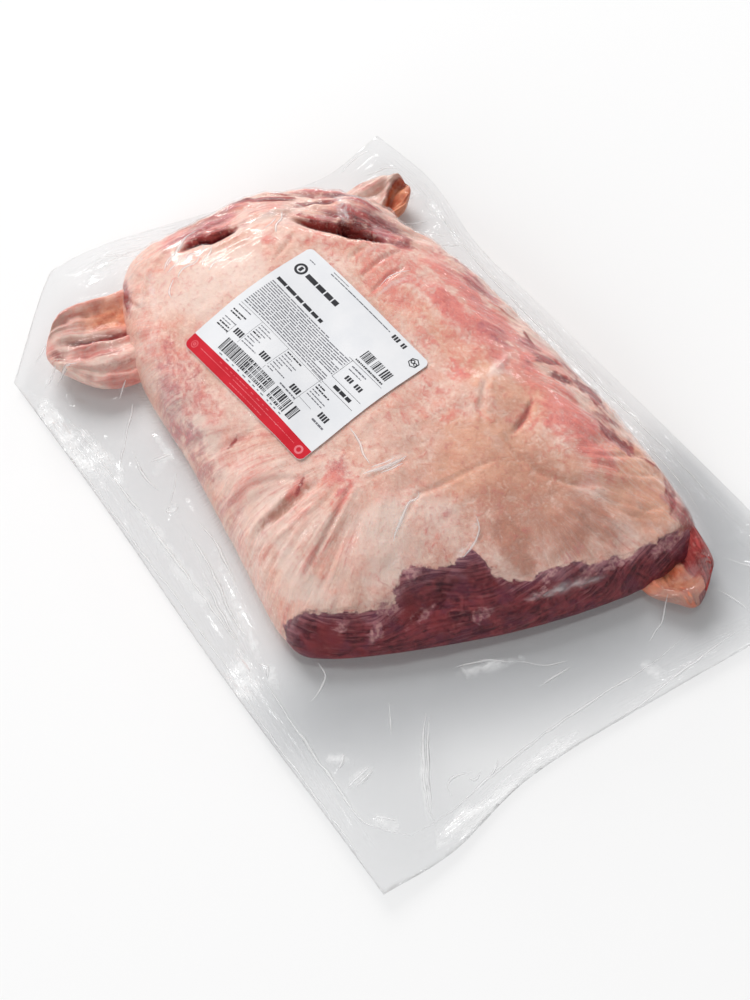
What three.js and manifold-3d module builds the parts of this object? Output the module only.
// A thick cut of raw beef, fat side up, vacuum packed in a clear bag, with a square label on top.
//
// The bag is one sealed thing: its two films cling to the cut and meet round it in a flat skirt, so
// the bag and what it holds are one solid, with the cut's folds and its three loose flaps in relief.
// The label is a thin sheet stuck on top. Millimetres, +Z up: the pack lies flat on z = 0, its long
// side along X. The thick end of red muscle is at +X, and the label reads along +X.

import * as THREE from 'three';
import { mergeVertices } from 'three/addons/utils/BufferGeometryUtils.js';
import Module from 'manifold-3d';

const wasm = await Module();
wasm.setup();

// ---------------------------------------------------------------- driving dimensions

const SKIRT = 1.2; // thickness of the two films where they lie together
const SEAM_Z = 9; // height at which the films meet at the foot of the cut
const CUT_HEIGHT = 52; // highest part of the cut
const LABEL = { width: 90, height: 80, corner: 3, thick: 0.4, gap: 0.7, at: [-48.5, -8], turn: 3.5 };

// The bag's edge, side by side: its corners and what it wanders through between them, as [x, y, z].
const BAG_SIDES = {
  near: [[-144, -120, 5], [-60, -121, 3], [40, -125, 4], [120, -126, 6], [174, -127, 9]],
  front: [[174, -127, 9], [176, -90, 5], [169, -40, 3], [175, 35, 4], [186.5, 127, 7]],
  far: [[186.5, 127, 7], [104, 126, 4], [-15, 121, 4], [-70, 117, 6], [-120, 123, 6], [-160, 117, 8]],
  back: [
    [-160, 117, 8], [-153, 76, 10], [-164, 32, 11], [-182, -32, 12], [-186, -64, 12], [-180, -79, 12],
    [-144, -120, 5],
  ],
};
const SIDE_STEPS = { near: 36, front: 28, far: 35, back: 30 };

// The cut's outline where it meets the skirt, as a closed curve, and the point its rings run out from.
const CUT_CENTRE = new THREE.Vector2(-20, 5);
const CUT_OUTLINE = [
  [-167, -15], [-158, -46], [-106, -70], [-50, -77], [6, -86], [50, -93], [72, -82], [105, -21],
  [124, 30], [131, 70], [118, 98], [45, 104], [-30, 101], [-80, 94], [-132, 77], [-158, 42],
];

// Folds of the fat and the seams between muscles: furrows (depth below 0) and rolls (above 0), each
// along an arc in plan that bows sideways by the given distance.
const FOLDS = [
  { from: [-143, -22], to: [-132, 36], bow: 4, width: 6, depth: -8 }, // rear furrow behind the cap
  { from: [-154, -12], to: [-147, 42], bow: 4, width: 6, depth: 4 }, // rear lip behind the furrow
  { from: [-124, 34], to: [-84, 71], bow: -5, width: 7, depth: -15 }, // gap where the cap of fat ends
  { from: [-120, 26], to: [-74, 60], bow: -3, width: 6, depth: 3 }, // the cap's rolled end before it
  { from: [-122, 58], to: [-98, 68], bow: 2, width: 7, depth: 5 }, // muscle behind the gap
  { from: [11, -50], to: [9, -76], bow: 2, width: 8, depth: -4 }, // deep furrow below the label
  { from: [2, -52], to: [-12, -80], bow: 4, width: 8, depth: -2 }, // fan of furrows on the near wall
  { from: [-30, -48], to: [-39, -76], bow: 3, width: 8, depth: -2.5 },
  { from: [31, -42], to: [42, -78], bow: 2, width: 8, depth: -1.5 },
  { from: [36, 64], to: [47, 40], bow: 2, width: 8, depth: -2 }, // furrow across the cap
  { from: [12, 56], to: [32, 40], bow: -2, width: 12, depth: 2 }, // swelling beside it
  { from: [60, 42], to: [90, 66], bow: -4, width: 8, depth: -1.5 }, // fold at the far front corner
  { from: [88, 58], to: [114, 78], bow: 3, width: 8, depth: -2 },
  { from: [77, -15], to: [84, -56], bow: 5, width: 8, depth: -3 }, // seam between the front muscles
];

// Where the cap of fat stops over the red muscle of the front: the edge's x at each y, and the step
// down past it.
const CAP_EDGE = [
  [-93, 51], [-82, 53], [-68, 62], [-51, 70], [-28, 72], [-7, 79], [10, 100], [24, 107], [44, 114],
  [64, 118], [96, 118],
];
const CAP_STEP = { drop: 4.5, width: 7 };

// The loose flaps of fat at three corners. Each runs from a root inside the cut to its tip; its left
// edge, its right edge and its tip, seen from the root, curl up by the given heights.
const FLAPS = [
  { root: [-127, -48], tip: [-140, -101], width: 54, thick: 14, z: 7.5, curl: [2, 3, 8] },
  { root: [-124, 66], tip: [-120, 109], width: 30, thick: 10, z: 8, curl: [2, 3, 4] },
  { root: [104, 79], tip: [152, 71], width: 37, thick: 10, z: 7, curl: [7, 0, 4] },
];

// ---------------------------------------------------------------- small maths

const smooth = (t) => THREE.MathUtils.smoothstep(t, 0, 1);
const mix = THREE.MathUtils.lerp;

// The bag's edge as points [x, y, z], counter-clockwise seen from above.
function bagEdge() {
  const points = [];
  for (const [side, steps] of Object.entries(SIDE_STEPS)) {
    const curve = new THREE.CatmullRomCurve3(BAG_SIDES[side].map((p) => new THREE.Vector3(...p)));
    for (let i = 0; i < steps; i++) points.push(curve.getPoint(i / steps));
  }
  return points;
}

// The cut's radius from its centre in each direction, read off the smooth outline.
const outline = new THREE.CatmullRomCurve3(
  CUT_OUTLINE.map(([x, y]) => new THREE.Vector3(x, y, 0)), true, 'catmullrom', 0.5,
).getPoints(640).map((p) => {
  const d = new THREE.Vector2(p.x, p.y).sub(CUT_CENTRE);
  return { angle: Math.atan2(d.y, d.x), radius: d.length() };
}).sort((a, b) => a.angle - b.angle);

function cutRadius(angle) {
  const next = outline.findIndex((p) => p.angle > angle);
  const b = outline[next < 0 ? 0 : next];
  const a = outline.at(next < 0 ? -1 : next - 1);
  const span = (b.angle - a.angle + 2 * Math.PI) % (2 * Math.PI) || 1;
  return mix(a.radius, b.radius, ((angle - a.angle + 2 * Math.PI) % (2 * Math.PI)) / span);
}

// ---------------------------------------------------------------- the cut's surface

// The height of one fold at a point, falling off smoothly to its sides and its ends.
function foldAt({ from, to, bow, width, depth }, x, y) {
  const along = new THREE.Vector2(to[0] - from[0], to[1] - from[1]);
  const length = along.length();
  along.divideScalar(length);
  const t = ((x - from[0]) * along.x + (y - from[1]) * along.y) / length;
  const inside = THREE.MathUtils.clamp(t, 0, 1);
  const beyond = (t - inside) * length;
  const across = -(x - from[0]) * along.y + (y - from[1]) * along.x - bow * 4 * inside * (1 - inside);
  const taper = 0.35 + 0.65 * Math.sin(Math.PI * inside);
  return depth * taper * Math.exp(-(across * across + beyond * beyond) / (width * width));
}

// How far the surface has dropped off the edge of the cap of fat, ahead of it.
function capStep(x, y) {
  const passed = CAP_EDGE.filter(([edgeY]) => edgeY < y).length;
  const next = THREE.MathUtils.clamp(passed, 1, CAP_EDGE.length - 1);
  const [[y0, x0], [y1, x1]] = CAP_EDGE.slice(next - 1, next + 1);
  const edge = mix(x0, x1, THREE.MathUtils.clamp((y - y0) / (y1 - y0), 0, 1));
  return -CAP_STEP.drop * smooth((x - edge) / CAP_STEP.width);
}

// Broad unevenness of the fat under the film.
function swells(x, y) {
  return 0.9 * Math.sin(x / 17 + 1.3) * Math.sin(y / 14 + 0.5) + 0.6 * Math.sin((x + 1.6 * y) / 15 + 2.1);
}

// Height of the top film over the cut at (x, y), where share runs from 0 at its centre to 1 at its edge.
function cutTop(x, y, share) {
  const back = smooth((-95 - x) / 70);
  const front = smooth((x - 15) / 115);
  const near = smooth((-y - 10) / 75);
  const crown = CUT_HEIGHT - 6 * back - 11 * front - 4 * near;
  const dome = (1 - share ** 4) ** 0.55;
  const relief = FOLDS.reduce((sum, fold) => sum + foldAt(fold, x, y), swells(x, y) + capStep(x, y));
  return SEAM_Z + SKIRT / 2 + (crown - SEAM_Z) * dome + relief * Math.min(1, 8 * (1 - share));
}

function cutTopAt(x, y) {
  const d = new THREE.Vector2(x, y).sub(CUT_CENTRE);
  return cutTop(x, y, d.length() / cutRadius(Math.atan2(d.y, d.x)));
}

// The underside: flat on the table, then rounding up to the seam.
const FLAT_SHARE = 0.8;
function cutBottom(share) {
  const rise = Math.max(0, (share - FLAT_SHARE) / (1 - FLAT_SHARE));
  return (SEAM_Z - SKIRT / 2) * (1 - Math.sqrt(1 - rise ** 2));
}

// ---------------------------------------------------------------- meshes as solids

function toManifold(geometry) {
  geometry.deleteAttribute('normal');
  geometry.deleteAttribute('uv');
  const merged = mergeVertices(geometry, 1e-4);
  return new wasm.Manifold(new wasm.Mesh({
    numProp: 3,
    vertProperties: new Float32Array(merged.attributes.position.array),
    triVerts: new Uint32Array(merged.index.array),
  }));
}

function toGeometry(solid) {
  const { vertProperties, triVerts } = solid.getMesh();
  const geometry = new THREE.BufferGeometry();
  geometry.setAttribute('position', new THREE.BufferAttribute(new Float32Array(vertProperties), 3));
  geometry.setIndex(new THREE.BufferAttribute(new Uint32Array(triVerts), 1));
  geometry.computeVertexNormals();
  return geometry;
}

// A closed surface of rings, each an array of points, that starts and ends in a single point.
function ringSurface(first, rings, last) {
  const n = rings[0].length;
  const position = [first, ...rings.flat(), last].flatMap((p) => [p.x, p.y, p.z]);
  const index = [];
  const at = (ring, i) => 1 + ring * n + (i % n);
  for (let i = 0; i < n; i++) {
    index.push(0, at(0, i), at(0, i + 1));
    for (let r = 0; r + 1 < rings.length; r++) {
      index.push(at(r, i), at(r + 1, i), at(r + 1, i + 1), at(r, i), at(r + 1, i + 1), at(r, i + 1));
    }
    index.push(1 + rings.length * n, at(rings.length - 1, i + 1), at(rings.length - 1, i));
  }
  const geometry = new THREE.BufferGeometry();
  geometry.setAttribute('position', new THREE.Float32BufferAttribute(position, 3));
  geometry.setIndex(index);
  return geometry;
}

// A closed lens: a grid of points midway, closer together towards its rim, thickened up and down by a
// thickness that is 0 on the rim. u runs from 0 to 1 and v from -1 to 1.
function lens(columns, rows, middle, thickness) {
  const position = [];
  const index = [];
  for (const side of [1, -1]) {
    const base = position.length / 3;
    for (let j = 0; j <= rows; j++) {
      for (let i = 0; i <= columns; i++) {
        const [u, v] = [(1 - Math.cos((Math.PI * i) / columns)) / 2, -Math.cos((Math.PI * j) / rows)];
        const onRim = i === 0 || i === columns || j === 0 || j === rows;
        const p = middle(u, v);
        position.push(p.x, p.y, p.z + (onRim ? 0 : (side * thickness(u, v)) / 2));
      }
    }
    for (let j = 0; j < rows; j++) {
      for (let i = 0; i < columns; i++) {
        const a = base + j * (columns + 1) + i;
        const [b, c, d] = [a + 1, a + columns + 2, a + columns + 1];
        index.push(...(side > 0 ? [a, b, c, a, c, d] : [a, c, b, a, d, c]));
      }
    }
  }
  const geometry = new THREE.BufferGeometry();
  geometry.setAttribute('position', new THREE.Float32BufferAttribute(position, 3));
  geometry.setIndex(index);
  return geometry;
}

// ---------------------------------------------------------------- the bag and what it holds

const CUT_RINGS = 21;
const UNDER_RINGS = 3;
const SKIRT_RINGS = [0.1, 0.35, 0.7, 1];

// The skirt sags from the seam to the bag's edge.
function skirtPoint(foot, edge, t) {
  const sag = 1 - (1 - t) ** 2;
  const wave = 0.8 * Math.sin(foot.x / 13) * Math.sin(foot.y / 11 + 1) * Math.sin(Math.PI * t);
  return new THREE.Vector3(mix(foot.x, edge.x, t), mix(foot.y, edge.y, t), mix(SEAM_Z, edge.z, sag) + wave);
}

// The cut and the skirt round it: rings out over the top, round the bag's edge and back underneath.
function cutAndSkirt() {
  const edge = bagEdge();
  const rays = edge.map((p) => {
    const angle = Math.atan2(p.y - CUT_CENTRE.y, p.x - CUT_CENTRE.x);
    const reach = cutRadius(angle);
    return (share) => new THREE.Vector2(Math.cos(angle), Math.sin(angle))
      .multiplyScalar(reach * share).add(CUT_CENTRE);
  });
  const ring = (share, height) => rays.map((ray) => {
    const p = ray(share);
    return new THREE.Vector3(p.x, p.y, height(p));
  });
  const skirt = (t, side) => rays.map((ray, i) => {
    const p = skirtPoint(new THREE.Vector3(...ray(1), 0), edge[i], t);
    p.z += (side * SKIRT) / 2;
    return p;
  });

  const steps = (count) => Array.from({ length: count }, (_, i) => (i + 1) / count);
  const shares = steps(CUT_RINGS).map((t) => Math.sin((Math.PI / 2) * t));
  const under = [0, ...steps(UNDER_RINGS)].map((t) => mix(1, FLAT_SHARE, t));
  const { x, y } = CUT_CENTRE;
  return toManifold(ringSurface(
    new THREE.Vector3(x, y, cutTop(x, y, 0)),
    [
      ...shares.map((share) => ring(share, (p) => cutTop(p.x, p.y, Math.min(share, 1)))),
      ...SKIRT_RINGS.map((t) => skirt(t, 1)),
      ...SKIRT_RINGS.toReversed().map((t) => skirt(t, -1)),
      ...under.map((share) => ring(share, () => cutBottom(share))),
      ring(FLAT_SHARE / 2, () => 0),
    ],
    new THREE.Vector3(x, y, 0),
  ));
}

// A flap of fat: a thick tongue with a round tip, its edges curled up.
function flap({ root, tip, width, thick, z, curl }) {
  const axis = new THREE.Vector2(tip[0] - root[0], tip[1] - root[1]);
  const across = new THREE.Vector2(-axis.y, axis.x).normalize();
  const middle = (u, v) => {
    const half = (width / 2) * Math.sqrt(1 - 0.75 * Math.max(0, (u - 0.35) / 0.65) ** 3);
    const lift = curl[0] * Math.max(0, v) ** 2 + curl[1] * Math.max(0, -v) ** 2 + curl[2] * u ** 3;
    const round = 1 - 0.16 * v * v * u;
    return new THREE.Vector3(
      root[0] + axis.x * u * round + across.x * half * v,
      root[1] + axis.y * u * round + across.y * half * v,
      z + lift,
    );
  };
  const thickness = (u, v) => thick * Math.sqrt((1 - Math.abs(v) ** 3) * (1 - Math.abs(2 * u - 1) ** 6));
  return toManifold(lens(14, 10, middle, thickness));
}

function makeBag() {
  const solid = FLAPS.reduce((sum, f) => sum.add(flap(f)), cutAndSkirt());
  const mesh = new THREE.Mesh(
    toGeometry(solid),
    new THREE.MeshStandardMaterial({ color: 0xd9a08c, roughness: 0.3, metalness: 0 }),
  );
  mesh.name = 'bag';
  return mesh;
}

// ---------------------------------------------------------------- the label

// A rounded rectangle, cut from a sheet that follows the film.
function makeLabel() {
  const { width, height, corner, thick, gap, at, turn } = LABEL;
  const angle = THREE.MathUtils.degToRad(turn);
  const turned = (x, y) => new THREE.Vector2(x, y).rotateAround(new THREE.Vector2(), angle);
  const margin = 4;
  const sheet = lens(16, 14, (u, v) => {
    const p = turned((u - 0.5) * (width + 2 * margin), (v / 2) * (height + 2 * margin));
    p.add(new THREE.Vector2(...at));
    return new THREE.Vector3(p.x, p.y, cutTopAt(p.x, p.y) + gap + thick / 2);
  }, () => thick);

  const [w, h] = [width / 2, height / 2];
  const shape = new THREE.Shape();
  shape.moveTo(w - corner, -h);
  shape.absarc(w - corner, -h + corner, corner, -Math.PI / 2, 0);
  shape.absarc(w - corner, h - corner, corner, 0, Math.PI / 2);
  shape.absarc(-w + corner, h - corner, corner, Math.PI / 2, Math.PI);
  shape.absarc(-w + corner, -h + corner, corner, Math.PI, 1.5 * Math.PI);
  const upright = { depth: 2 * CUT_HEIGHT, bevelEnabled: false, curveSegments: 4 };
  const blade = new THREE.ExtrudeGeometry(shape, upright);
  blade.rotateZ(angle).translate(at[0], at[1], 0);

  const mesh = new THREE.Mesh(
    toGeometry(toManifold(sheet).intersect(toManifold(blade))),
    new THREE.MeshStandardMaterial({ color: 0xf2f2f0, roughness: 0.45, metalness: 0 }),
  );
  mesh.name = 'label';
  return mesh;
}

const pack = new THREE.Group();
pack.add(makeBag(), makeLabel());

export default pack;
